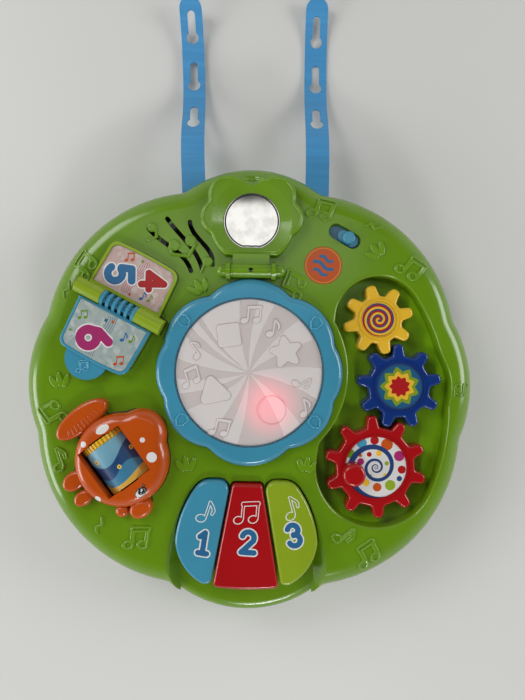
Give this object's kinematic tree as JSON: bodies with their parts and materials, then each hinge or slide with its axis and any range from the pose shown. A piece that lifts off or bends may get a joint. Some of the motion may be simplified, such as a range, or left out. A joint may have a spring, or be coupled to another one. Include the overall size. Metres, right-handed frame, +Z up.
{
  "type": "activity table top",
  "caption": "Petal-edged toy activity table top with press drum, music keys, meshing gears with crank, page-turning book, picture roller, mirror flap, slide switch and keyhole straps.",
  "frame": {"origin": "middle of the base's resting face", "axes": "+Z up out of the play face, +Y from the keys towards the straps, +X towards the gears"},
  "size_m": [0.4016, 0.5875, 0.085],
  "materials": {
    "green_plastic": "gloss moulded",
    "lime_plastic": "gloss moulded",
    "orange_plastic": "gloss moulded",
    "blue_plastic": "gloss moulded",
    "sky_plastic": "gloss moulded",
    "red_plastic": "gloss moulded",
    "yellow_plastic": "gloss moulded",
    "white_plastic": "satin translucent",
    "reflector_plastic": "matt moulded",
    "strap_plastic": "satin soft moulded",
    "label_print": "printed film",
    "mirror_sheet": "polished",
    "steel": "plated",
    "board": "lacquered",
    "rubber": "matt",
    "red_lens": "clear tinted",
    "green_lens": "clear tinted",
    "yellow_lens": "clear tinted",
    "black_plastic": "matt moulded",
    "wire_sleeve": "matt",
    "cell_wrap": "printed sleeve"
  },
  "bodies": {
    "housing": {"top_housing": "green_plastic", "bottom_housing": "green_plastic", "housing_screws": "steel", "battery_door": "green_plastic", "battery_door_screw": "steel", "battery_cells": "cell_wrap", "battery_contacts": "steel", "drum_ring": "sky_plastic", "ring_screws": "steel", "light_box": "reflector_plastic", "lamp_board": "board", "red_lamp": "red_lens", "green_lamp": "green_lens", "yellow_lamp": "yellow_lens", "drum_domes": "rubber", "flap_pin": "steel", "book_base": "lime_plastic", "book_screws": "steel", "book_pin": "steel", "page_label": "label_print", "fish_cover": "orange_plastic", "cover_screws": "steel", "left_key_dome": "rubber", "middle_key_dome": "rubber", "right_key_dome": "rubber", "key_hinge_rod": "steel", "main_board": "board", "board_screws": "steel", "slide_switch": "black_plastic", "badge_label": "label_print", "speaker_frame": "black_plastic", "speaker_cone": "black_plastic", "wiring": "wire_sleeve"},
    "drum": {"drum_head": "white_plastic"},
    "key_left": {"left_key": "sky_plastic"},
    "key_middle": {"middle_key": "red_plastic"},
    "key_right": {"right_key": "lime_plastic"},
    "gear_red": {"red_gear": "red_plastic", "red_gear_label": "label_print", "red_gear_screw": "steel", "crank_knob": "red_plastic"},
    "gear_blue": {"blue_gear": "blue_plastic", "blue_gear_label": "label_print", "blue_gear_screw": "steel"},
    "gear_yellow": {"yellow_gear": "yellow_plastic", "yellow_gear_label": "label_print", "yellow_gear_screw": "steel"},
    "flap": {"mirror_flap": "green_plastic", "mirror": "mirror_sheet"},
    "leaf": {"book_leaf": "sky_plastic", "leaf_label": "label_print"},
    "roller": {"picture_roller": "yellow_plastic", "roller_label": "label_print", "roller_axle": "steel"},
    "slider": {"slide_knob": "sky_plastic"},
    "strap_left": {"left_strap": "strap_plastic"},
    "strap_right": {"right_strap": "strap_plastic"}
  },
  "joints": [
    {"name": "drum_press", "type": "slide", "parent": "housing", "child": "drum", "axis": [0, 0, -1], "range_m": [0, 0.0025], "stiffness_N_per_m": 800, "springref_m": -0.006, "deforming": ["drum_domes"]},
    {"name": "left_key_press", "type": "hinge", "parent": "housing", "child": "key_left", "pos_m": [0, -0.0665, 0.063], "axis": [1, 0, 0], "range_deg": [0, 2.2], "stiffness_Nm_per_rad": 0.6, "springref_deg": -3.44, "deforming": ["left_key_dome"]},
    {"name": "middle_key_press", "type": "hinge", "parent": "housing", "child": "key_middle", "pos_m": [0, -0.0665, 0.063], "axis": [1, 0, 0], "range_deg": [0, 2.2], "stiffness_Nm_per_rad": 0.6, "springref_deg": -3.44, "deforming": ["middle_key_dome"]},
    {"name": "right_key_press", "type": "hinge", "parent": "housing", "child": "key_right", "pos_m": [0, -0.0665, 0.063], "axis": [1, 0, 0], "range_deg": [0, 2.2], "stiffness_Nm_per_rad": 0.6, "springref_deg": -3.44, "deforming": ["right_key_dome"]},
    {"name": "red_gear_spin", "type": "hinge", "parent": "housing", "child": "gear_red", "pos_m": [0.1135, -0.065, 0.06], "axis": [0, 0, 1], "continuous": true},
    {"name": "blue_gear_spin", "type": "hinge", "parent": "housing", "child": "gear_blue", "pos_m": [0.1335, 0.007, 0.06], "axis": [0, 0, 1], "continuous": true},
    {"name": "yellow_gear_spin", "type": "hinge", "parent": "housing", "child": "gear_yellow", "pos_m": [0.114, 0.066, 0.06], "axis": [0, 0, 1], "continuous": true},
    {"name": "flap_hinge", "type": "hinge", "parent": "housing", "child": "flap", "pos_m": [0, 0.106, 0.0763], "axis": [1, 0, 0], "range_deg": [0, 110]},
    {"name": "leaf_hinge", "type": "hinge", "parent": "housing", "child": "leaf", "pos_m": [-0.1135, 0.0735, 0.0773], "axis": [-0.8918, 0.4524, 0], "range_deg": [0, 180]},
    {"name": "roller_spin", "type": "hinge", "parent": "housing", "child": "roller", "pos_m": [-0.1145, -0.061, 0.061], "axis": [0.6018, -0.7986, 0], "continuous": true},
    {"name": "switch_slide", "type": "slide", "parent": "housing", "child": "slider", "axis": [0.866, -0.5, 0], "range_m": [-0.0074, 0]},
    {"name": "left_strap_swing", "type": "hinge", "parent": "housing", "child": "strap_left", "pos_m": [-0.0546, 0.1645, 0.0394], "axis": [1, 0, 0], "range_deg": [-45, 6]},
    {"name": "right_strap_swing", "type": "hinge", "parent": "housing", "child": "strap_right", "pos_m": [0.06, 0.1645, 0.0394], "axis": [1, 0, 0], "range_deg": [-45, 6]}
  ],
  "couplings": [
    {"joint": "blue_gear_spin", "follows": "red_gear_spin", "ratio": -1.1111},
    {"joint": "yellow_gear_spin", "follows": "red_gear_spin", "ratio": 1.25}
  ]
}
